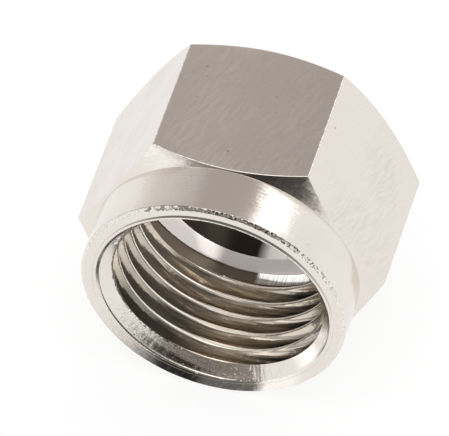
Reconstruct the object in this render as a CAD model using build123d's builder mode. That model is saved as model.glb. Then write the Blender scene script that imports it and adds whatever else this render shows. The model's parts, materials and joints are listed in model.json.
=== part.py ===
from build123d import *
from math import cos, radians, tan
import os

os.makedirs("parts", exist_ok=True)

# Union nut of a pipe union: hexagon bar, turned at both ends, bored and tapped G 1/2.
# It lies on one flat of its hexagon, with its axis along Y and its mouth towards -Y.
# The origin is on the axis, in the plane of the seat. Depths are measured in from the mouth.

# Hexagon bar and its two turned ends
flat_count = 6
across_flats = 24.0
nut_length = 19.15
chamfer_angle = 30.0
collar_wall = 1.37
collar_length = 4.83
collar_edge_break = 0.3
back_face_diameter = 23.1
turning_overrun = 1.0

# Thread, as its bore before tapping, with the countersink that leads into it
thread_major_diameter = 20.955
thread_minor_diameter = 18.631
countersink_clearance = 0.045
countersink_angle = 90.0

# Relief between the thread and the seat, seat for the tail's flange, and hole for the tail
relief_clearance = 0.045
relief_lead_angle = 45.0
relief_width = 2.3
seat_depth = 12.4
tail_hole_diameter = 16.6
tail_hole_edge_break = 0.3

# Radii worked out from those sizes
corner_radius = across_flats / 2 / cos(radians(180.0 / flat_count))
back_face_radius = back_face_diameter / 2
thread_bore_radius = thread_minor_diameter / 2
countersink_radius = (thread_major_diameter + countersink_clearance) / 2
collar_radius = countersink_radius + collar_wall
relief_radius = (thread_major_diameter + relief_clearance) / 2
tail_hole_radius = tail_hole_diameter / 2

# Places along the axis
seat_y = 0.0
mouth_y = seat_y - seat_depth
back_y = mouth_y + nut_length
countersink_depth = (countersink_radius - thread_bore_radius) / tan(radians(countersink_angle / 2))
thread_end_y = seat_y - relief_width
relief_lead_length = (relief_radius - thread_bore_radius) / tan(radians(relief_lead_angle))
collar_end_y = mouth_y + collar_length

# The turning tools start past the corners of the bar and cut a cone at each end
overrun_radius = corner_radius + turning_overrun
front_cone_y = collar_end_y + (overrun_radius - collar_radius) * tan(radians(chamfer_angle))
back_cone_y = back_y - (overrun_radius - back_face_radius) * tan(radians(chamfer_angle))

with BuildPart() as union_nut:
    # Half section of everything that is turned: X is the radius, Y is along the axis
    with BuildSketch(Plane.XY) as turned_section:
        with BuildLine() as section_outline:
            bore_outline = Polyline(
                (countersink_radius, mouth_y),
                (thread_bore_radius, mouth_y + countersink_depth),
                (thread_bore_radius, thread_end_y),
                (relief_radius, thread_end_y + relief_lead_length),
                (relief_radius, seat_y),
                (tail_hole_radius, seat_y),
                (tail_hole_radius, back_y - tail_hole_edge_break),
                (tail_hole_radius + tail_hole_edge_break, back_y),
            )
            outside_outline = Polyline(
                (back_face_radius, back_y),
                (overrun_radius, back_cone_y),
                (overrun_radius, front_cone_y),
                (collar_radius, collar_end_y),
                (collar_radius, mouth_y + collar_edge_break),
                (collar_radius - collar_edge_break, mouth_y),
            )
            back_face = Line(bore_outline @ 1, outside_outline @ 0)
            mouth_face = Line(outside_outline @ 1, bore_outline @ 0)
        make_face()
    revolve(axis=Axis.Y)

    # The hexagon cuts its six flats into the turned blank and leaves a curved edge on each cone
    with BuildSketch(Plane.XZ.offset(-mouth_y)) as bar_section:
        RegularPolygon(across_flats / 2, flat_count, major_radius=False)
    extrude(amount=-nut_length, mode=Mode.INTERSECT)

union_nut.part.label = "union_nut"
export_step(union_nut.part, "parts/union_nut.step")
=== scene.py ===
import json
from math import cos, pi, radians, sin, tan

import bmesh
import bpy
import numpy as np
from bpy.props import FloatProperty, FloatVectorProperty, IntProperty, PointerProperty
from mathutils import Matrix, Vector


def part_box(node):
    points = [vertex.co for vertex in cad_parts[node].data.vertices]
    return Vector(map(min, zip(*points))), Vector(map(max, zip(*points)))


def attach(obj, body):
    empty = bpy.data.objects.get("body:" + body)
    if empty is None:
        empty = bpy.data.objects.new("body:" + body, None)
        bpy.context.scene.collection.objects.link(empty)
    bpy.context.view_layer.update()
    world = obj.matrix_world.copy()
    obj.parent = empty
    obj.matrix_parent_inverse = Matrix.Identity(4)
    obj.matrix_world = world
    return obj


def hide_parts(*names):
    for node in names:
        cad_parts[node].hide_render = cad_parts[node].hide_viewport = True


bl_info = {
    "name": "Union nut",
    "version": (1, 0, 0),
    "blender": (4, 5, 0),
    "location": "3D view > Sidebar > Union nut",
    "description": "Dresses the packed union nut: plate, pipe thread, floor, lamps and camera",
    "category": "Object",
}

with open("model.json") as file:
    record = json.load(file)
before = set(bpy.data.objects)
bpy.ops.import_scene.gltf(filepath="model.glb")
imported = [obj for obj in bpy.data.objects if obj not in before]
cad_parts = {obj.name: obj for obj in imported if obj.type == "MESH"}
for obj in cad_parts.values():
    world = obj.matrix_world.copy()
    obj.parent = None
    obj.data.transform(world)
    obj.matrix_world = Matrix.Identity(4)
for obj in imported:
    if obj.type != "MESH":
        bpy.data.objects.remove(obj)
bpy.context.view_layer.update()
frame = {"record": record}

NODE = "union_nut"
BODY = "root"
LIT = "lit_nut"
MM = 0.001

# The nut lies with its axis along Y, so its box gives the mouth, the back, the floor and the flats
LOW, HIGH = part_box(NODE)
MOUTH_Y, BACK_Y = LOW.y, HIGH.y
FLOOR_Z, APOTHEM = LOW.z, HIGH.z
MOUNTS = {mount["name"]: mount for mount in frame["record"]["mounts"]}
THREAD_RADIUS = MOUNTS["thread"]["dims"]["r_mm"] * MM
TAIL_HOLE_RADIUS = MOUNTS["tail_hole"]["dims"]["r_mm"] * MM
SEAT_Y = MOUNTS["tail_hole"]["pos_m"][1]
AXIS = (0.0, 1.0, 0.0)


# What a user can change


def length(name, description, default):
    """One size in millimetres of the real nut, stored in metres."""
    return FloatProperty(
        name=name, description=description, default=default * MM, unit="LENGTH", precision=5)


def tint(name, description, default):
    """One colour of the plate or the floor."""
    return FloatVectorProperty(
        name=name, description=description, default=default, subtype="COLOR", min=0, max=1)


def fraction(name, description, default):
    """One number between 0 and 1."""
    return FloatProperty(
        name=name, description=description, default=default, subtype="FACTOR", min=0, max=1)


def turn(name, description, default):
    """One angle in degrees, stored in radians."""
    return FloatProperty(
        name=name, description=description, default=radians(default), subtype="ANGLE")


class UnionNutSizes(bpy.types.PropertyGroup):
    """What the box and the mounts of the solid don't say."""

    collar_radius: length("Collar radius", "Outside of the turned collar", 11.87)
    collar_length: length("Collar length", "From the mouth to the foot of the front cone", 4.83)
    collar_edge: length("Collar edge", "Broken edge at the mouth of the collar", 0.24)
    countersink_radius: length("Countersink radius", "Wide end of the countersink", 10.5)
    thread_end: length("Thread end", "From the mouth to the end of the full thread", 10.1)
    relief_radius: length("Relief radius", "Groove behind the thread", 10.5)
    back_face_radius: length("Back face radius", "Where the back cone meets the back face", 11.55)
    tail_hole_edge: length("Tail hole edge", "Broken edge of the hole at the back", 0.3)
    pitch: length("Pitch", "Pitch of the pipe thread, 14 turns to the inch", 1.8143)
    thread_start: length("Thread start", "Depth of a crest at the corner on the left", 1.37)
    crest_edge: length("Crest edge", "Rounding of the thread's crest", 0.24)
    corner_edge: length("Corner edge", "Rounding of the six corners of the bar", 0.14)
    cone_edge: length("Cone edge", "Rounding between each cone and its flats", 0.09)
    turned_edge: length("Turned edge", "Rounding of the turned edges", 0.05)
    ring_radius: length("Ring radius", "Middle of the fine ring on the mouth face", 10.80)
    ring_width: length("Ring width", "Width of the ring at the top, where it is deepest", 0.34)
    ring_least: length("Ring least width", "Width of the ring at the bottom", 0.06)
    ring_depth: length("Ring depth", "Depth of the ring at the top", 0.12)
    sector_columns: IntProperty(
        name="Columns", description="Columns of faces in each sixth of a turn", default=58)


class UnionNutFinish(bpy.types.PropertyGroup):
    """Colours and wear of the plate."""

    plate: tint("Plate", "Bright nickel on the outside", (0.80, 0.745, 0.69))
    bore_plate: tint("Bore plate", "Thinner nickel on the thread", (0.72, 0.64, 0.54))
    streak_plate: tint("Streaks", "Dark streaks in the thread's roots", (0.10, 0.095, 0.09))
    hole_plate: tint("Hole plate", "Dark metal in the hole for the tail", (0.030, 0.024, 0.018))
    hole_roof: tint("Hole roof", "Thin plate in the upper part of that hole", (0.24, 0.20, 0.155))
    # The crests are rubbed, and their lighter colour is also a painted highlight
    crest_plate: tint("Crest plate", "Rubbed crests of the thread", (0.88, 0.83, 0.77))
    seat_plate: tint("Seat plate", "Matt nickel on the seat", (0.29, 0.267, 0.253))
    relief_plate: tint("Relief plate", "Thin nickel in the relief groove", (0.20, 0.17, 0.14))
    # Colour of the painted dark reflection in the mouth's ring and rim
    groove_plate: tint("Groove plate", "Dull metal in the mouth's ring", (0.17, 0.155, 0.12))
    # Bright colour of the painted highlights in the hole and the relief
    painted_highlight_plate: tint("Rubbed plate", "Bright patches in the hole and relief", (0.98, 0.96, 0.94))
    turned_roughness: fraction("Turned roughness", "Gloss of turned faces", 0.18)
    milled_roughness: fraction("Flat roughness", "Gloss of the flats", 0.22)
    ring_tilt: fraction("Ring tilt", "Slope of the turning marks", 0.10)
    streak_tilt: fraction("Streak tilt", "Slope of the marks on the flats", 0.05)


class UnionNutStudio(bpy.types.PropertyGroup):
    """Floor and camera."""

    floor_colour: tint("Floor", "Pale floor", (0.95, 0.95, 0.95))
    floor_size: length("Floor size", "Side of the floor", 3000.0)
    lens: FloatProperty(name="Lens", description="Focal length", default=561.25, unit="CAMERA")
    distance: length("Camera distance", "From the camera to its aim", 610.1)
    azimuth: turn("Azimuth", "From the front to the right", 16.09)
    elevation: turn("Elevation", "Above the floor", 49.86)
    roll: turn("Roll", "Turn of the camera about its view", -0.44)
    aim: FloatVectorProperty(
        name="Camera aim", description="Point in the middle of the camera's view",
        default=(-1.486 * MM, -3.211 * MM, 0.176 * MM), subtype="XYZ", unit="LENGTH", precision=5)


# Shaders


class Value:
    """A number in a shader: sums written with it add Math nodes."""

    def __init__(self, shader, socket):
        self.shader = shader
        self.socket = socket

    def maths(self, operation, first, second):
        """A Math node on two numbers."""
        return self.shader.node("ShaderNodeMath", {"operation": operation}, {0: first, 1: second})

    def __add__(self, other):
        return self.maths("ADD", self, other)

    def __radd__(self, other):
        return self.maths("ADD", other, self)

    def __sub__(self, other):
        return self.maths("SUBTRACT", self, other)

    def __rsub__(self, other):
        return self.maths("SUBTRACT", other, self)

    def __mul__(self, other):
        return self.maths("MULTIPLY", self, other)

    def __rmul__(self, other):
        return self.maths("MULTIPLY", other, self)

    def __truediv__(self, other):
        return self.maths("DIVIDE", self, other)

    def __rtruediv__(self, other):
        return self.maths("DIVIDE", other, self)

    def limit(self, low, high):
        """This number spread from low..high onto 0..1, and held there."""
        sockets = {"Value": self, "From Min": low, "From Max": high}
        return self.shader.node("ShaderNodeMapRange", {"clamp": True}, sockets)

    def output(self, name):
        """Another output of the node behind this value."""
        return Value(self.shader, self.socket.node.outputs[name])


class Shader:
    """The nodes of one material, or of the world."""

    def __init__(self, name, kept_in=None):
        self.owner = (bpy.data.materials if kept_in is None else kept_in).new(name)
        self.owner.use_nodes = True
        self.tree = self.owner.node_tree
        self.tree.nodes.clear()

    def node(self, kind, settings=None, sockets=None, out=0):
        """Adds a node: its settings first, then the values or links of its sockets."""
        made = self.tree.nodes.new(kind)
        for name, value in (settings or {}).items():
            setattr(made, name, value)
        for name, value in (sockets or {}).items():
            if isinstance(value, Value):
                self.tree.links.new(value.socket, made.inputs[name])
            else:
                made.inputs[name].default_value = value
        return Value(self, made.outputs[out]) if len(made.outputs) else None

    def vector(self, operation, first, second=None, out=0):
        """Vector Math on one or two vectors."""
        sockets = {0: first} if second is None else {0: first, 1: second}
        return self.node("ShaderNodeVectorMath", {"operation": operation}, sockets, out)

    def scaled(self, vector, factor):
        """A vector or colour times a number."""
        return self.node(
            "ShaderNodeVectorMath", {"operation": "SCALE"}, {0: vector, "Scale": factor})

    def joined(self, first, second):
        """A place in a plane, from two numbers."""
        return self.node("ShaderNodeCombineXYZ", None, {0: first, 1: second, 2: 0.0})

    def blend(self, factor, first, second):
        """A colour between two colours."""
        sockets = {0: factor, 6: first, 7: second}
        return self.node("ShaderNodeMix", {"data_type": "RGBA"}, sockets, 2)

    def noise(self, place, scale, detail):
        """Noise from 0 to 1 at a place. The scale is in cells to the metre."""
        sockets = {"Vector": place, "Scale": scale, "Detail": detail}
        return self.node("ShaderNodeTexNoise", {"noise_dimensions": "3D"}, sockets)

    def line_noise(self, number, scale, detail):
        """Noise from 0 to 1 along a line, at one number."""
        sockets = {"W": number, "Scale": scale, "Detail": detail}
        return self.node("ShaderNodeTexNoise", {"noise_dimensions": "1D"}, sockets)

    def finish(self, surface, output="ShaderNodeOutputMaterial"):
        """Links the last shader to the output."""
        self.node(output, None, {"Surface": surface})
        return self.owner


def opaque(colour):
    """A colour with full alpha, as a shader's socket takes it."""
    return (colour[0], colour[1], colour[2], 1.0)


def darker(colour, share):
    """A share of a colour, which is a plain one or a value in a shader."""
    if isinstance(colour, Value):
        return colour.shader.scaled(colour, share)
    return opaque([c * share for c in colour])


# Surfaces of the plate

TURNED, FLAT, EDGE, THREAD, HOLE, SEAT, RELIEF, MOUTH, GROOVE, CREST = range(10)

# Sectors where the plate looks different: two angles around the axis and how soft the ends are.
# In degrees, 0 is the corner on the left, 90 the top, 180 the corner on the right, -90 the bottom.
MARKED_THREAD = (-178.0, -104.0, 12.0)
DARKER_THREAD = (-76.0, -16.0, 12.0)
STREAKED_THREAD = (-172.0, -106.0, 12.0)
PAINTED_DARK_RING = (42.0, 150.0, 26.0)
SCRATCHED_AND_SHADED_MOUTH = (-125.0, -25.0, 12.0)
PAINTED_SHADE_MOUTH = (-92.0, -36.0, 14.0)
MATT_COUNTERSINK = (-174.0, -144.0, 8.0)
TOP_FLATS = (0.0, 119.8, 0.3)
NICKED_RIM = (84.0, 150.0, 10.0)
BURR = (-140.0, -15.0, 15.0)
HOLE_FLOOR = (-165.0, -15.0, 6.0)
# Sectors of the painted highlights in the hole and the relief
HOLE_HIGHLIGHT = (-116.0, -97.0, 4.0)
RELIEF_HIGHLIGHT = (-122.0, -94.0, 1.0)

# Angles in degrees between which painted shade makes the top flat dimmer
TOP_FLAT_DIMS = (80.0, 118.0)

# Scales of the fine and the coarse turning marks
OUTSIDE_RINGS = (9000.0, 2300.0)
THREAD_RINGS = (7000.0, 1900.0)

# How far turning marks shift along the axis for each step outwards, so they show on every slope
RING_SLANT = 1.37

# The cutter's marks lie across the flats at a slant, as parts along and across the axis
CUTTER_ALONG = 0.37
CUTTER_ACROSS = 0.93

# Radius at which scratches on the mouth face have their true length
SCRATCH_RADIUS = 11.0 * MM


class Surface(Shader):
    """A material on the nut, with the places and directions that its marks follow."""

    def __init__(self, name):
        super().__init__(name)
        self.place = self.node("ShaderNodeTexCoord", out=3)
        self.normal = self.node("ShaderNodeNewGeometry", out=1)
        parts = self.node("ShaderNodeSeparateXYZ", None, {0: self.place})
        self.height = parts.output("Y")
        self.radial = self.vector("MULTIPLY", self.place, (1.0, 0.0, 1.0))
        self.radius = self.vector("LENGTH", self.radial, out=1)
        self.around = self.vector("NORMALIZE", self.vector("CROSS_PRODUCT", AXIS, self.radial))
        self.along = self.vector("CROSS_PRODUCT", self.around, self.normal)
        self.angle = parts.maths("ARCTAN2", parts.output("Z"), parts * -1.0)

    def sector(self, low, high, soft):
        """1 between two angles in degrees around the axis, 0 outside them."""
        rise = self.angle.limit(radians(low - soft), radians(low + soft))
        fall = self.angle.limit(radians(high - soft), radians(high + soft))
        return rise * (1.0 - fall)

    def beyond_depth(self, low, high):
        """0 up to one depth behind the mouth, 1 beyond another, in millimetres."""
        return self.height.limit(MOUTH_Y + low * MM, MOUTH_Y + high * MM)

    def beyond_radius(self, low, high):
        """0 up to one radius, 1 beyond another, in millimetres."""
        return self.radius.limit(low * MM, high * MM)

    def tool_path(self):
        """A number that grows over turned faces of any slope, so that rings can follow the tool."""
        return self.radius + self.height * RING_SLANT

    def lean(self, direction, amount):
        """Tips the normal in a direction."""
        tipped = self.vector("ADD", self.normal, self.scaled(direction, amount))
        self.normal = self.vector("NORMALIZE", tipped)

    def grain(self, scale, amount):
        """Tips the normal every way by a fine grain."""
        grains = self.noise(self.place, scale, 2.0).output("Color")
        self.lean(self.vector("SUBTRACT", grains, (0.5, 0.5, 0.5)), amount)

    def plate(self, colour, roughness, metal=1.0):
        """Ends in the plate's own shader."""
        sockets = {
            "Base Color": colour, "Metallic": metal, "Roughness": roughness, "Normal": self.normal}
        return self.finish(self.node("ShaderNodeBsdfPrincipled", None, sockets))


def finish_turned(shader, colour, roughness, tilt, wear, rings=OUTSIDE_RINGS, metal=1.0, marks=1.0):
    """Nickel on a turned face: rings that follow the tool, a light grain, dull patches and pits.
    Wear is the share of the patches and pits that shows, and marks makes the rings deeper."""
    path = shader.tool_path()
    fine, coarse = rings
    shader.lean(shader.along, (shader.line_noise(path, fine, 3.0) - 0.5) * (marks * tilt * 2.0))
    shader.lean(shader.along, (shader.line_noise(path, coarse, 2.0) - 0.5) * (marks * tilt))
    shader.grain(3300.0, tilt * 0.8)
    shader.grain(1400.0, tilt * 0.4)
    patches = shader.noise(shader.place, 260.0, 4.0).limit(0.42, 0.72)
    pits = shader.noise(shader.place, 2600.0, 1.0).limit(0.76, 0.80)
    shade = shader.blend(patches * wear, colour, darker(colour, 0.86))
    shade = shader.blend(pits * wear, shade, darker(shade, 0.4))
    return shader.plate(shade, patches * 0.05 + roughness, metal)


def turned_plate(name, colour, **finish):
    """Nickel of one colour on a turned face."""
    return finish_turned(Surface(name), opaque(colour), **finish)


def thread_plate(name, colour, streak, tilt, wear):
    """Nickel on the thread: deep marks, darker roots and streaks at the lower right, and darker
    bands at the lower left, which fade towards the relief."""
    shader = Surface(name)
    path = shader.tool_path()
    bands = shader.line_noise(path, 1300.0, 2.0).limit(0.36, 0.52)
    darkened = bands * shader.sector(*DARKER_THREAD) * (1.0 - shader.beyond_depth(3.0, 8.0) * 0.6)
    shade = shader.blend(darkened, opaque(colour), darker(colour, 0.33))
    root = shader.radius.limit(THREAD_RADIUS + 0.4 * MM, THREAD_RADIUS + 0.8 * MM)
    streaks = shader.line_noise(path, 6000.0, 2.0).limit(0.46, 0.54)
    tone_mask = (root * 0.5 + streaks * 0.55).limit(0.0, 1.0) * shader.sector(*STREAKED_THREAD)
    shade = shader.blend(tone_mask, shade, opaque(streak))
    marks = shader.sector(*MARKED_THREAD) * 1.8 + 1.0
    return finish_turned(
        shader, shade, roughness=0.13, tilt=tilt, wear=wear, rings=THREAD_RINGS, metal=0.98,
        marks=marks)


def groove_plate(name, colour, darkened, tilt):
    """Ring and rim of the mouth face: a painted dark reflection at the top, where the tool cut
    deep, and plated elsewhere.
    """
    shader = Surface(name)
    # Painted dark reflection: a darker colour in a sector at the top
    shade = shader.blend(shader.sector(*PAINTED_DARK_RING), opaque(colour), opaque(darkened))
    return finish_turned(shader, shade, roughness=0.26, tilt=tilt, wear=0.5)


def mouth_plate(name, colour, roughness, tilt):
    """Nickel on the mouth face: rings, crossed by short scratches that painted shade darkens in its
    lower part, with more mottled painted shade there.
    """
    shader = Surface(name)
    rings = shader.line_noise(shader.radius, 7000.0, 3.0)
    shader.lean(shader.along, (rings - 0.5) * (tilt * 1.4))
    scratched_and_shaded = shader.sector(*SCRATCHED_AND_SHADED_MOUTH)
    across = shader.joined(shader.angle * SCRATCH_RADIUS, shader.radius * 0.22)
    rough = shader.noise(across, 3300.0, 3.0)
    shader.lean(shader.around, (rough - 0.5) * (scratched_and_shaded * 2.9 + 0.3) * tilt)
    nicks = shader.noise(shader.place, 5200.0, 2.0).limit(0.62, 0.76)
    shader.lean(shader.around, nicks * (scratched_and_shaded * 0.4))
    scratches = shader.noise(across, 5200.0, 2.0).limit(0.60, 0.78)
    # The scratches darken much more in the lower part, as painted shade
    shade = shader.blend(
        scratches * (scratched_and_shaded * 0.72 + 0.08), opaque(colour), darker(colour, 0.55))
    # Painted shade, mottled, in the lower part
    mottled_shade = shader.noise(shader.place, 8000.0, 3.0).limit(0.40, 0.60)
    mottled_shade = mottled_shade * shader.sector(*PAINTED_SHADE_MOUTH)
    shade = shader.blend(mottled_shade * 0.5, shade, darker(colour, 0.35))
    matt = shader.sector(*MATT_COUNTERSINK) * (1.0 - shader.beyond_radius(10.3, 10.5))
    return shader.plate(shade, scratches * 0.08 + roughness, 1.0 - matt * 0.32)


def milled_plate(name, colour, roughness, tilt):
    """Nickel on the flats: wavy slanting cutter marks, strongest in a few patches, pits, and
    painted shade that dims the top flat towards its right.
    """
    shader = Surface(name)
    across = shader.vector("NORMALIZE", shader.vector("CROSS_PRODUCT", AXIS, shader.normal))
    side = shader.vector("DOT_PRODUCT", shader.place, across, out=1)
    waves = (shader.noise(shader.place, 420.0, 1.0) - 0.5) * (1.1 * MM)
    over = shader.height * CUTTER_ALONG - side * CUTTER_ACROSS + waves
    level = shader.height * CUTTER_ACROSS + side * CUTTER_ALONG
    marks = shader.noise(shader.joined(over, level * 0.16), 2900.0, 3.0)
    shader.lean(across, (marks - 0.5) * (tilt * 1.5))
    shader.grain(4200.0, tilt * 0.5)
    patches = shader.noise(shader.place, 170.0, 1.0).limit(0.42, 0.62)
    cut = marks.limit(0.40, 0.66) * (patches * 0.85 + 0.15)
    shade = shader.blend(cut, opaque(colour), darker(colour, 0.90))
    speckle = shader.noise(shader.place, 5200.0, 2.0).limit(0.35, 0.75)
    shade = shader.blend(speckle * 0.35, shade, darker(colour, 0.86))
    # Painted shade: the top flat grows darker towards its corner on the right
    dim = shader.angle.limit(*map(radians, TOP_FLAT_DIMS)) * shader.sector(*TOP_FLATS)
    shade = shader.blend(dim, shade, darker(shade, 0.93))
    pits = shader.noise(shader.place, 1700.0, 1.0).limit(0.78, 0.81)
    shade = shader.blend(pits * 0.8, shade, darker(colour, 0.35))
    return shader.plate(shade, patches * 0.05 + roughness)


def edge_plate(name, colour, roughness):
    """Nickel on broken edges: nicked, most at the top of the rim and where the thread begins."""
    shader = Surface(name)
    shader.grain(3800.0, 0.9)
    nicks = shader.noise(shader.place, 5000.0, 2.0).limit(0.48, 0.58)
    rim = shader.sector(*NICKED_RIM) * (1.0 - shader.beyond_depth(1.0, 2.0))
    burr = shader.sector(*BURR) * (1.0 - shader.beyond_radius(9.7, 10.0))
    shade = shader.blend(
        nicks * (rim * 0.75 + burr * 0.6 + 0.2), opaque(colour), darker(colour, 0.12))
    return shader.plate(shade, roughness)


def hole_plate(name, colour, roof, bright, roughness, tilt):
    """Hole for the tail: dark in its lower part, with one painted highlight, and thinly plated
    above.
    """
    shader = Surface(name)
    shader.lean(shader.along, (shader.line_noise(shader.height, 5000.0, 3.0) - 0.5) * tilt)
    shade = shader.blend(shader.sector(*HOLE_FLOOR), opaque(roof), opaque(colour))
    # Painted highlight: a bright patch of colour in one sector of the hole
    shade = shader.blend(shader.sector(*HOLE_HIGHLIGHT), shade, opaque(bright))
    return shader.plate(shade, roughness)


def seat_plate(name, colour, roughness):
    """Matt nickel of the seat, with fine turning rings."""
    shader = Surface(name)
    rings = shader.line_noise(shader.radius, 5200.0, 3.0).limit(0.35, 0.65)
    shade = shader.blend(rings * 0.5, opaque(colour), darker(colour, 0.82))
    return shader.plate(shade, roughness, metal=0.2)


def relief_plate(name, colour, bright, roughness):
    """Thinly plated relief groove: a painted highlight, broken by the marks where the tool
    chattered.
    """
    shader = Surface(name)
    chatter = shader.line_noise(shader.angle, 62.0, 1.0).limit(0.40, 0.58)
    rings = shader.line_noise(shader.height, 4300.0, 2.0).limit(0.35, 0.65)
    # Painted highlight: a bright, nearly matt patch of colour in one sector
    highlight_mask = shader.sector(*RELIEF_HIGHLIGHT)
    tone_mask = highlight_mask * (chatter * 0.4 + 0.6) * (rings * 0.25 + 0.75)
    shade = shader.blend(tone_mask, opaque(colour), opaque(bright))
    return shader.plate(shade, roughness, 1.0 - highlight_mask * 0.95)


def plate_materials(finish):
    """The plate's materials, in the order of the surface kinds."""
    plate, highlight_colour, tilt = finish.plate, finish.painted_highlight_plate, finish.ring_tilt
    edge = [min(1.0, c * 1.08) for c in plate]
    return [
        turned_plate(
            "turned_nickel", plate, roughness=finish.turned_roughness, tilt=tilt, wear=0.35),
        milled_plate("flat_nickel", plate, finish.milled_roughness, finish.streak_tilt),
        edge_plate("edge_nickel", edge, roughness=0.20),
        thread_plate(
            "thread_nickel", finish.bore_plate, finish.streak_plate, tilt=tilt * 1.3, wear=0.5),
        hole_plate(
            "hole_metal", finish.hole_plate, finish.hole_roof, highlight_colour, roughness=0.24, tilt=tilt),
        seat_plate("seat_nickel", finish.seat_plate, roughness=0.42),
        relief_plate("relief_nickel", finish.relief_plate, highlight_colour, roughness=0.30),
        mouth_plate("mouth_nickel", plate, finish.turned_roughness, tilt),
        groove_plate("groove_metal", plate, finish.groove_plate, tilt),
        # Crests: rubbed, and lighter also as a painted highlight of the crest lines
        turned_plate(
            "crest_nickel", finish.crest_plate, roughness=0.24, tilt=tilt, wear=0.3,
            rings=THREAD_RINGS, metal=0.85),
    ]


# Shape of the nut, as columns of points around the axis

SIXTH = pi / 3
HALF_SIXTH = pi / 6
CONE_SLOPE = tan(pi / 6)
THREAD_FLANK = radians(27.5)

# Columns near a corner of the bar and where the even ones start, in halves of its rounded width
NEAR_CORNER = (0.0, 0.5, 1.0, 1.25, 2.2, 4.5)
CLEAR_OF_CORNER = 6.0

# Steps in the arc of an edge, of a crest and of a root
EDGE_STEPS = 4
CREST_STEPS = 3
ROOT_STEPS = 4

# Where the wear changes the shape or its finish: a middle and a reach around the axis in degrees
WIDE_EDGE = (62.0, 42.0)
NARROW_EDGE = (270.0, 75.0)
DEEP_RING = (105.0, 72.0)
NICKED_CONE = (67.0, 17.0)
# Angle in degrees up to which the rim takes the ring's material, with its painted dark reflection
PAINTED_DARK_RIM_END = 80.0

# Unevenness of the collar's broken edge: its size, and its waves to the turn
EDGE_UNEVEN = 0.10 * MM
EDGE_WAVES = (3, 5, 11, 23, 37, 61, 97)

# The edge between the mouth face and the countersink, and the worn starts of the crests
MOUTH_EDGE = 0.07 * MM
NICKED_REACH = 0.05 * MM
WORN_CREST_REACH = 0.3 * MM
CREST_DEPTH = 0.1 * MM

MERGE_DISTANCE = 1e-7
SHARP_ANGLE = radians(32)


def column_angles(sizes):
    """Angles of the columns over a full turn, from the corner on the left, close at each corner."""
    half = sizes.corner_edge * sin(HALF_SIXTH) / (APOTHEM / cos(HALF_SIXTH))
    near = [widths * half for widths in NEAR_CORNER]
    clear = CLEAR_OF_CORNER * half
    even = np.linspace(0.0, SIXTH, sizes.sector_columns)[1:-1]
    even = [a for a in even if clear < a < SIXTH - clear]
    sector = near + even + [SIXTH - a for a in reversed(near[1:])]
    angles = [sixth * pi / 3 + a for sixth in range(6) for a in sector]
    return np.array(angles + [2.0 * pi])


def hexagon_radius(angles, rounding):
    """Distance from the axis to the outside of the bar, with rounded corners."""
    from_corner = np.abs((angles + HALF_SIXTH) % SIXTH - HALF_SIXTH)
    flat = APOTHEM / np.cos(HALF_SIXTH - from_corner)
    centre = (APOTHEM - rounding) / cos(HALF_SIXTH)
    rest = np.maximum(rounding ** 2 - (centre * np.sin(from_corner)) ** 2, 0.0)
    arc = centre * np.cos(from_corner) + np.sqrt(rest)
    touch = np.arctan2(rounding * sin(HALF_SIXTH), centre + rounding * cos(HALF_SIXTH))
    return np.where(from_corner < touch, arc, flat)


def rounded(before, corner, after, radius):
    """Rows of an arc that rounds a corner of the section, with a y and an r for every column."""
    inward = before - corner
    outward = after - corner
    inward /= np.maximum(np.hypot(*inward), 1e-9)
    outward /= np.maximum(np.hypot(*outward), 1e-9)
    between = np.arccos(np.clip((inward * outward).sum(0), -1.0, 1.0))
    reach = radius / np.tan(between / 2)
    start = corner + inward * reach
    end = corner + outward * reach
    shares = [step / EDGE_STEPS for step in range(EDGE_STEPS + 1)]
    return [start * (1 - t) ** 2 + corner * 2 * t * (1 - t) + end * t ** 2 for t in shares]


def wobble(angles, seed, waves, size):
    """A small uneven number per column that closes on itself after a turn."""
    draw = np.random.default_rng(seed)
    total = np.zeros_like(angles)
    for wave in waves:
        total += draw.uniform(0.4, 1.0) * np.sin(wave * angles + draw.uniform(0, 2 * pi))
    return size * total / len(waves)


def bump(angles, middle, reach):
    """1 at an angle in degrees, falling smoothly to 0 at a reach to either side."""
    away = np.abs((np.degrees(angles) - middle + 180.0) % 360.0 - 180.0)
    return np.cos(np.clip(away / reach, 0.0, 1.0) * pi / 2) ** 2


class Section:
    """Rows of points along the nut's section. Each row holds a y and an r for every column, and
    the kind of surface up to the next row. Each of them is one for all columns or one for each."""

    def __init__(self, angles):
        self.whole = np.ones_like(angles)
        self.rows = []

    def at(self, y, r):
        """A y and an r, spread over the columns."""
        return np.array([y * self.whole, r * self.whole])

    def add(self, y, r, kind):
        """One row."""
        self.rows.append((self.at(y, r), kind))

    def add_between(self, first, second, shares, kind):
        """Rows at shares of the way from one (y, r) to another."""
        for share in shares:
            y, r = (a + (b - a) * share for a, b in zip(first, second))
            self.add(y, r, kind)

    def add_round(self, before, corner, after, radius, kind, kind_after):
        """An arc of one kind in place of a corner, and the kind of what follows it."""
        arc = rounded(self.at(*before), self.at(*corner), self.at(*after), radius)
        self.rows += [(point, kind) for point in arc[:-1]]
        self.rows.append((arc[-1], kind_after))


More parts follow.
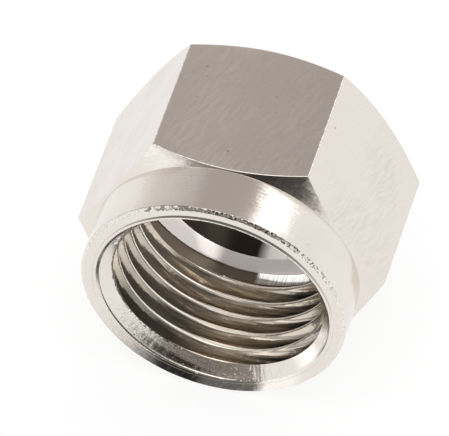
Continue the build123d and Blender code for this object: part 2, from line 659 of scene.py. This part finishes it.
def add_mouth_face(section, sizes, angles):
    """The mouth face with its fine ring, which the tool cut deepest at the top."""
    deep = bump(angles, *DEEP_RING) ** 0.5
    width = sizes.ring_least + (sizes.ring_width - sizes.ring_least) * deep
    depth = sizes.ring_depth * (0.15 + 0.85 * deep)
    inner = sizes.ring_radius - width / 2
    outer = sizes.ring_radius + width / 2
    section.add(MOUTH_Y, sizes.countersink_radius, EDGE)
    section.add(MOUTH_Y, sizes.countersink_radius + MOUTH_EDGE, MOUTH)
    section.add(MOUTH_Y, (sizes.countersink_radius + inner) / 2, MOUTH)
    section.add(MOUTH_Y, inner, GROOVE)
    section.add(MOUTH_Y + depth, outer - width * 0.3, GROOVE)
    section.add(MOUTH_Y, outer, MOUTH)
    section.add(MOUTH_Y, (outer + sizes.collar_radius - sizes.collar_edge) / 2, MOUTH)


def add_collar(section, sizes, angles):
    """The broken edge, uneven and narrowest at the bottom, and the collar."""
    radius = sizes.collar_radius
    edge = sizes.collar_edge + wobble(angles, 3, EDGE_WAVES, EDGE_UNEVEN)
    edge += EDGE_UNEVEN * bump(angles, *WIDE_EDGE)
    edge *= 1.0 - 0.75 * bump(angles, *NARROW_EDGE)
    face = (MOUTH_Y, radius - 1 * MM)
    first = (MOUTH_Y, radius - edge)
    second = (MOUTH_Y + edge, radius)
    foot = (MOUTH_Y + sizes.collar_length, radius)
    # Up to an angle, the rim carries the ring's painted dark reflection
    rim_kind = np.where(angles[:-1] < radians(PAINTED_DARK_RIM_END), GROOVE, EDGE)
    section.add_round(face, first, second, sizes.turned_edge, EDGE, EDGE)
    section.add_round(first, second, foot, sizes.turned_edge, rim_kind, TURNED)
    section.add_between(second, foot, (0.25, 0.5, 0.75, 1.0), TURNED)


def add_bar(section, sizes, angles):
    """The front cone, the flats, the back cone and the back face."""
    bar = hexagon_radius(angles, sizes.corner_edge)
    foot = (MOUTH_Y + sizes.collar_length, sizes.collar_radius)
    cone_top = (foot[0] + (bar - sizes.collar_radius) * CONE_SLOPE, bar)
    cone_base = (BACK_Y - (bar - sizes.back_face_radius) * CONE_SLOPE, bar)
    back_rim = (BACK_Y, sizes.back_face_radius)
    hole_rim = (BACK_Y, TAIL_HOLE_RADIUS + sizes.tail_hole_edge)
    from_flat = np.abs((angles[:-1] + angles[1:]) / 2 % SIXTH - HALF_SIXTH)
    at_corner = from_flat > HALF_SIXTH - sizes.corner_edge / 2 / APOTHEM
    flat_kind = np.where(at_corner, EDGE, FLAT)
    cone_kind = np.where(bump(angles[:-1], *NICKED_CONE) > 0.2, EDGE, TURNED)
    section.add_between(foot, cone_top, (0.5,), TURNED)
    section.add_round(foot, cone_top, cone_base, sizes.cone_edge, cone_kind, flat_kind)
    section.add_between(cone_top, cone_base, (0.03, 0.2, 0.4, 0.6, 0.8, 0.97), flat_kind)
    section.add_round(cone_top, cone_base, back_rim, sizes.cone_edge, TURNED, TURNED)
    section.add_round(cone_base, back_rim, hole_rim, sizes.turned_edge, EDGE, TURNED)
    section.add_between(back_rim, hole_rim, (1 / 3, 2 / 3), TURNED)


def add_hole(section, sizes):
    """The hole for the tail, the seat and the relief."""
    edge = sizes.turned_edge
    back_rim = (BACK_Y, sizes.back_face_radius)
    hole_rim = (BACK_Y, TAIL_HOLE_RADIUS + sizes.tail_hole_edge)
    hole_start = (BACK_Y - sizes.tail_hole_edge, TAIL_HOLE_RADIUS)
    hole_end = (SEAT_Y, TAIL_HOLE_RADIUS)
    seat_rim = (SEAT_Y, sizes.relief_radius)
    relief_end = (runout_y(sizes), sizes.relief_radius)
    section.add_round(back_rim, hole_rim, hole_start, edge, EDGE, EDGE)
    section.add_round(hole_rim, hole_start, hole_end, edge, EDGE, HOLE)
    section.add_between(hole_start, hole_end, (0.25, 0.5, 0.75), HOLE)
    section.add_round(hole_start, hole_end, seat_rim, edge, SEAT, SEAT)
    section.add_between(hole_end, seat_rim, (1 / 3, 2 / 3), SEAT)
    section.add_round(hole_end, seat_rim, relief_end, edge * 2, RELIEF, RELIEF)
    section.add(*relief_end, RELIEF)


def outside_rows(sizes, angles):
    """Rows from the countersink's edge, over the outside and the back, to the end of the relief."""
    section = Section(angles)
    add_mouth_face(section, sizes, angles)
    add_collar(section, sizes, angles)
    add_bar(section, sizes, angles)
    add_hole(section, sizes)
    return section.rows


def countersink_end(sizes):
    """Where the countersink, which slopes at 45 degrees, meets the bore."""
    return MOUTH_Y + sizes.countersink_radius - THREAD_RADIUS


def runout_y(sizes):
    """Where the thread has run out into the relief, over a slope of 45 degrees."""
    lead = sizes.relief_radius - THREAD_RADIUS
    return MOUTH_Y + sizes.thread_end + lead


def thread_form(sizes):
    """Half of the Whitworth form, from the middle of a crest to the middle of a root:
    distances along the axis and depths beyond the crest."""
    pitch = sizes.pitch
    slope = pi / 2 - THREAD_FLANK
    triangle = pitch / 2 / tan(THREAD_FLANK)
    depth = triangle * 2 / 3
    flat = pitch / 12
    crest = sizes.crest_edge
    root = flat / tan(slope / 2)
    crest_flat = flat - crest * tan(slope / 2)
    along = [0.0, crest_flat]
    down = [0.0, 0.0]
    for step in range(1, CREST_STEPS + 1):
        a = slope * step / CREST_STEPS
        along.append(crest_flat + crest * sin(a))
        down.append(crest * (1 - cos(a)))
    for step in range(ROOT_STEPS, -1, -1):
        a = slope * step / ROOT_STEPS
        along.append(pitch / 2 - root * sin(a))
        down.append(depth - root * (1 - cos(a)))
    middle = CREST_STEPS + 2
    along.insert(middle, (along[middle - 1] + along[middle]) / 2)
    down.insert(middle, (down[middle - 1] + down[middle]) / 2)
    return np.array(along), np.array(down)


def thread_rows(sizes, angles):
    """Rows that climb with the thread, from the mouth to the relief: y and r of every point."""
    start, end = MOUTH_Y, runout_y(sizes)
    along, down = thread_form(sizes)
    pitch = sizes.pitch
    bore_y = [start, countersink_end(sizes), MOUTH_Y + sizes.thread_end, end]
    bore_r = [sizes.countersink_radius, THREAD_RADIUS, THREAD_RADIUS, sizes.relief_radius]
    crest_y = MOUTH_Y + sizes.thread_start + pitch * angles / (2 * pi)
    phases = np.concatenate([along[:-1], pitch - along[:0:-1]])
    turns = int((end - start) / pitch) + 4
    steps = np.concatenate([turns_on * pitch + phases for turns_on in range(-3, turns)])

    def plain(y):
        return np.interp(y, bore_y, bore_r)

    def cut(y):
        offset = (y - crest_y + pitch / 2) % pitch - pitch / 2
        return THREAD_RADIUS + np.interp(np.abs(offset), along, down)

    # The nearest row moves to where the thread comes out of the plain bore, to keep that line sharp
    rows = np.clip(crest_y[None, :] + steps[:, None], start, end)
    gap = plain(rows) - cut(rows)
    for row, column in zip(*np.nonzero(gap[:-1] * gap[1:] < 0)):
        share = gap[row, column] / (gap[row, column] - gap[row + 1, column])
        meet = rows[row, column] * (1 - share) + rows[row + 1, column] * share
        rows[row + (share > 0.5), column] = meet
    rows = np.clip(rows, start, end)
    return rows, np.maximum(plain(rows), cut(rows))


def thread_kinds(sizes, thread_y, thread_r):
    """The surface kind of every face between the rows of the thread."""
    end = countersink_end(sizes)
    middle_y = (thread_y[:-1, :-1] + thread_y[1:, 1:]) / 2
    middle_r = (thread_r[:-1, :-1] + thread_r[1:, 1:]) / 2
    kinds = np.where(middle_y < end, MOUTH, THREAD)
    kinds[np.abs(middle_y - end) < NICKED_REACH] = EDGE
    form_steps = 2 * len(thread_form(sizes)[0]) - 2
    step = np.arange(len(thread_y) - 1)[:, None] % form_steps
    crest = (step < 2) | (step >= form_steps - 2)
    crest = crest & (middle_r < THREAD_RADIUS + CREST_DEPTH)
    kinds[crest] = np.where(middle_y < end + WORN_CREST_REACH, EDGE, CREST)[crest]
    return kinds


def grid_faces(first, row_count, column_count):
    """Quads between the rows and columns of a grid whose points are numbered from first."""
    row, column = np.meshgrid(
        np.arange(row_count - 1), np.arange(column_count - 1), indexing="ij")
    corner = first + row * column_count + column
    around = [corner, corner + 1, corner + column_count + 1, corner + column_count]
    return np.stack(around, -1).reshape(-1, 4)


def nut_mesh(sizes):
    """The nut's surface, as a grid of the outside rows and a grid of the thread's."""
    angles = column_angles(sizes)
    outside = outside_rows(sizes, angles)
    thread_y, thread_r = thread_rows(sizes, angles)
    y = np.concatenate([[row[0][0] for row in outside], thread_y])
    r = np.concatenate([[row[0][1] for row in outside], thread_r])
    points = np.stack([-r * np.cos(angles), y, r * np.sin(angles)], -1).reshape(-1, 3)
    columns = len(angles)
    outside_faces = grid_faces(0, len(outside), columns)
    thread_faces = grid_faces(len(outside) * columns, len(thread_y), columns)
    kinds = [np.broadcast_to(row[1], columns - 1) for row in outside[:-1]]
    kinds.append(thread_kinds(sizes, thread_y, thread_r).reshape(-1))
    mesh = bpy.data.meshes.new(NODE + "_plated")
    mesh.from_pydata(points.tolist(), [], np.concatenate([outside_faces, thread_faces]).tolist())
    mesh.polygons.foreach_set("material_index", np.concatenate(kinds).astype(np.int32))
    return mesh


def close_mesh(mesh):
    """Joins the rows where they meet, turns the faces outwards and shades them."""
    work = bmesh.new()
    work.from_mesh(mesh)
    bmesh.ops.remove_doubles(work, verts=work.verts, dist=MERGE_DISTANCE)
    bmesh.ops.dissolve_degenerate(work, edges=work.edges, dist=MERGE_DISTANCE)
    bmesh.ops.recalc_face_normals(work, faces=work.faces)
    open_edges = [e for e in work.edges if len(e.link_faces) != 2]
    work.to_mesh(mesh)
    work.free()
    if open_edges:
        raise RuntimeError(f"the nut's surface has {len(open_edges)} open edges")
    mesh.polygons.foreach_set("use_smooth", [True] * len(mesh.polygons))
    mesh.set_sharp_from_angle(angle=SHARP_ANGLE)


class UNIONNUT_OT_plated_nut(bpy.types.Operator):
    """Builds the plated nut with its thread, in place of the plain solid"""

    bl_idname = "union_nut.plated_nut"
    bl_label = "Plated nut"

    def execute(self, context):
        mesh = nut_mesh(context.scene.union_nut_sizes)
        close_mesh(mesh)
        for material in plate_materials(context.scene.union_nut_finish):
            mesh.materials.append(material)
        nut = bpy.data.objects.new(NODE + "_plated", mesh)
        context.scene.collection.objects.link(nut)
        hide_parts(NODE)
        lit = bpy.data.collections.new(LIT)
        lit.objects.link(nut)
        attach(nut, BODY)
        return {"FINISHED"}


# Studio

# Cards around the nut: azimuth, elevation, width and height in degrees, the colour or the two that
# it fades between, the side that it fades along (Y where none is given), and its distance
CARD_DISTANCE = 0.45
CARDS = {
    "card_behind": (180, 54, 66, 36, (0.46, 0.425, 0.405)),
    "card_left": (-131, 27, 44, 44, (0.90, 0.88, 0.86), (0.52, 0.49, 0.48)),
    "card_front": (8, 4, 27, 38, (0.02, 0.018, 0.015), None, "Y", 0.43),
    "card_front_left": (-15, 8, 24, 34, (0.36, 0.33, 0.29), (0.10, 0.09, 0.08), "X", 0.44),
    "card_front_right": (25, 6, 14, 26, (0.12, 0.11, 0.10), (0.6, 0.57, 0.54), "X", 0.44),
    "card_front_top": (6, 38, 96, 34, (0.36, 0.33, 0.30), (0.12, 0.11, 0.10)),
    "card_front_bright": (-39, -4, 20, 20, (1.35, 1.35, 1.35)),
}

# A card on the floor: two azimuths in degrees, two distances, and the colours that it fades between
FLOOR_CARD = (12, 26.5, 0.17, 0.43, (0.02, 0.018, 0.015), (0.14, 0.13, 0.12))
FLOOR_LIFT = 0.01 * MM

# The shade in front of the mouth, in millimetres: its left and right, its far and near ends, where
# it darkens or lightens from left to right and by how much, and where it fades in from far to near
SHADE_SIDES = (-12.0, 8.0)
SHADE_ENDS = (-17.0, -12.45)
SHADE_STEPS = (
    (-8.3, -5.3, 0.66),
    (-11.0, -7.6, 0.34),
    (-1.9, -1.0, -0.13),
    (3.4, 4.4, -1.12),
    (6.5, 7.5, 0.25),
)
SHADE_FADE = (-16.6, -15.2)

# Soft boxes: azimuth and elevation in degrees, distance, width and height, and watts
LAMPS = {
    "lamp_right": (143, 41, 0.42, 0.105, 0.20, 0.095),
    "lamp_over": (-20, 80, 0.8, 0.6, 0.6, 1.4),
}

# Small lamps for the seat: azimuth and elevation in degrees, and watts
SEAT_LAMPS = {
    "lamp_seat_left": (46.7, 21, 11.0),
    "lamp_seat_right": (-22, 27.6, 4.3),
}
SEAT_LAMP_DISTANCE = 0.5
SEAT_LAMP_SIZE = 0.02

# The floor's own glow, and its share against the light that falls on it
FLOOR_GLOW = 1.03
FLOOR_GLOW_SHARE = 0.80

WHITE = (1.0, 1.0, 1.0, 1.0)
SOFT_WHITE = (0.8, 0.8, 0.8, 1.0)


def direction(azimuth, elevation):
    """Unit vector from the nut: azimuth from the front to the right, elevation above the floor."""
    across = cos(elevation)
    return Vector((sin(azimuth) * across, -cos(azimuth) * across, sin(elevation)))


def place_at(azimuth, elevation, distance):
    """A place around the nut, its angles in degrees."""
    return direction(radians(azimuth), radians(elevation)) * distance


def facing_nut(azimuth, elevation, distance):
    """A matrix at a place around the nut, its angles in degrees, whose -Z looks at the nut."""
    place = place_at(azimuth, elevation, distance)
    return Matrix.Translation(place) @ place.to_track_quat("Z", "Y").to_matrix().to_4x4()


def rectangle(left, right, low, high, z=0.0):
    """The four corners of a rectangle that lies flat, in order around it."""
    return [(left, low, z), (right, low, z), (right, high, z), (left, high, z)]


def sheet(name, points, material, only_in_metal=True):
    """One face of the stage, from its four corners. Most of them show only in the metal."""
    mesh = bpy.data.meshes.new(name)
    mesh.from_pydata(points, [], [(0, 1, 2, 3)])
    mesh.materials.append(material)
    made = bpy.data.objects.new(name, mesh)
    if only_in_metal:
        made.visible_camera = False
        made.visible_diffuse = False
        made.visible_shadow = False
    bpy.context.scene.collection.objects.link(made)
    return made


def glow(name, first, second, along):
    """A glow of one colour, or one that fades to a second across a card (X) or up it (Y)."""
    shader = Shader(name)
    colour = opaque(first)
    if second is not None:
        place = shader.node("ShaderNodeTexCoord")
        share = shader.node("ShaderNodeSeparateXYZ", None, {0: place}).output(along)
        colour = shader.blend(share, colour, opaque(second))
    return shader.finish(shader.node("ShaderNodeEmission", None, {"Color": colour}))


def card(name, azimuth, elevation, width, height, first, second=None, along="Y",
         distance=CARD_DISTANCE):
    """A flat card outside the picture, square to the nut. Width and height are in degrees."""
    x, y = distance * tan(radians(width / 2)), distance * tan(radians(height / 2))
    made = sheet(name, rectangle(-x, x, -y, y), glow(name, first, second, along))
    made.matrix_world = facing_nut(azimuth, elevation, distance)


def floor_card(name, left, right, near, far, first, second):
    """A card that lies on the floor between two azimuths in degrees and two distances."""
    lift = Vector((0.0, 0.0, FLOOR_Z + FLOOR_LIFT))
    places = [(left, near), (right, near), (right, far), (left, far)]
    points = [place_at(azimuth, 0.0, distance) + lift for azimuth, distance in places]
    sheet(name, points, glow(name, first, second, "X"))


def contact_shade(name):
    """The dark of the floor close in front of the mouth, which shows only in the mouth face."""
    shader = Shader(name)
    place = shader.node("ShaderNodeTexCoord", out=3)
    parts = shader.node("ShaderNodeSeparateXYZ", None, {0: place})
    side, depth = parts / MM, parts.output("Y") / MM
    steps = [side.limit(start, end) * change for start, end, change in SHADE_STEPS]
    dark = sum(steps[1:], steps[0])
    spots = shader.noise(place, 2600.0, 4.0).limit(0.30, 0.62)
    mottled = (spots * 0.35 + 0.82).limit(0.0, 1.0)
    level = 1.0 - dark * depth.limit(*SHADE_FADE) * mottled
    colour = shader.scaled((1.0, 1.0, 1.0), level * 0.98 + 0.02)
    glowing = shader.finish(shader.node("ShaderNodeEmission", None, {"Color": colour}))
    sides = [number * MM for number in SHADE_SIDES + SHADE_ENDS]
    sheet(name, rectangle(*sides, FLOOR_Z + FLOOR_LIFT), glowing)


def lamp(name, azimuth, elevation, distance, width, height, watts):
    """A soft box."""
    light = bpy.data.lights.new(name, "AREA")
    light.shape = "RECTANGLE"
    light.size = width
    light.size_y = height
    light.energy = watts
    made = bpy.data.objects.new(name, light)
    made.matrix_world = facing_nut(azimuth, elevation, distance)
    bpy.context.scene.collection.objects.link(made)
    return made


def seat_lamp(name, azimuth, elevation, watts):
    """A small lamp that shines through the mouth onto the matt seat, and on nothing but the nut."""
    size = SEAT_LAMP_SIZE
    made = lamp(name, azimuth, elevation, SEAT_LAMP_DISTANCE, size, size, watts)
    made.visible_glossy = False
    made.light_linking.receiver_collection = bpy.data.collections[LIT]


def floor_material(studio):
    """Pale floor that keeps a soft shadow and is white where the lamps reach it."""
    shader = Shader("pale_floor")
    paper = shader.node("ShaderNodeBsdfDiffuse", None, {"Color": opaque(studio.floor_colour)})
    white = shader.node("ShaderNodeEmission", None, {"Color": WHITE, "Strength": FLOOR_GLOW})
    sockets = {0: FLOOR_GLOW_SHARE, 1: paper, 2: white}
    return shader.finish(shader.node("ShaderNodeMixShader", None, sockets))


def white_world():
    """White for the camera, gloss and glass, and a soft even light for the rest."""
    shader = Shader("white_studio", bpy.data.worlds)
    path = shader.node("ShaderNodeLightPath")
    seen = path.maths("MAXIMUM", path.output("Is Camera Ray"), path.output("Is Glossy Ray"))
    seen = path.maths("MAXIMUM", seen, path.output("Is Transmission Ray"))
    soft = shader.node("ShaderNodeBackground", None, {"Color": SOFT_WHITE, "Strength": 1.0})
    white = shader.node("ShaderNodeBackground", None, {"Color": WHITE, "Strength": 1.0})
    mixed = shader.node("ShaderNodeMixShader", None, {0: seen, 1: soft, 2: white})
    bpy.context.scene.world = shader.finish(mixed, "ShaderNodeOutputWorld")


def add_camera(studio):
    """The camera at the photograph's angle."""
    data = bpy.data.cameras.new("camera")
    data.lens = studio.lens
    data.sensor_width = 36.0
    data.clip_end = 10.0
    camera = bpy.data.objects.new("camera", data)
    back = direction(studio.azimuth, studio.elevation)
    level = Vector((cos(studio.azimuth), sin(studio.azimuth), 0.0))
    right = level * cos(studio.roll) + back.cross(level) * sin(studio.roll)
    columns = Matrix((right, back.cross(right), back)).transposed().to_4x4()
    place = Vector(studio.aim) + back * studio.distance
    camera.matrix_world = Matrix.Translation(place) @ columns
    bpy.context.scene.collection.objects.link(camera)
    bpy.context.scene.camera = camera


class UNIONNUT_OT_studio(bpy.types.Operator):
    """Sets the floor, the white surroundings, the cards, the lamps and the camera"""

    bl_idname = "union_nut.studio"
    bl_label = "Studio"

    def execute(self, context):
        scene = context.scene
        studio = scene.union_nut_studio
        scene.view_settings.view_transform = "Standard"
        half = studio.floor_size / 2
        floor = rectangle(-half, half, -half, half, FLOOR_Z)
        sheet("floor", floor, floor_material(studio), only_in_metal=False)
        white_world()
        for name, look in CARDS.items():
            card(name, *look)
        floor_card("card_floor_front", *FLOOR_CARD)
        contact_shade("contact_shade")
        for name, look in LAMPS.items():
            lamp(name, *look)
        for name, look in SEAT_LAMPS.items():
            seat_lamp(name, *look)
        add_camera(studio)
        return {"FINISHED"}


class UNIONNUT_PT_panel(bpy.types.Panel):
    """Lists what makes the union nut"""

    bl_label = "Union nut"
    bl_idname = "UNIONNUT_PT_panel"
    bl_space_type = "VIEW_3D"
    bl_region_type = "UI"
    bl_category = "Union nut"

    def draw(self, context):
        for group_name in GROUPS:
            group = getattr(context.scene, group_name)
            box = self.layout.box()
            for name in group.__annotations__:
                box.prop(group, name)
        self.layout.operator(UNIONNUT_OT_plated_nut.bl_idname)
        self.layout.operator(UNIONNUT_OT_studio.bl_idname)


GROUPS = {
    "union_nut_sizes": UnionNutSizes,
    "union_nut_finish": UnionNutFinish,
    "union_nut_studio": UnionNutStudio,
}
CLASSES = (*GROUPS.values(), UNIONNUT_OT_plated_nut, UNIONNUT_OT_studio, UNIONNUT_PT_panel)


def register():
    """Makes the properties, the operators and the panel known."""
    for kind in CLASSES:
        bpy.utils.register_class(kind)
    for name, group in GROUPS.items():
        setattr(bpy.types.Scene, name, PointerProperty(type=group))


def unregister():
    """Takes them away again."""
    for name in GROUPS:
        delattr(bpy.types.Scene, name)
    for kind in reversed(CLASSES):
        bpy.utils.unregister_class(kind)


def main():
    """Makes the nut, then the studio."""
    register()
    bpy.ops.union_nut.plated_nut()
    bpy.ops.union_nut.studio()
    bpy.context.view_layer.update()


if __name__ == "__main__":
    main()
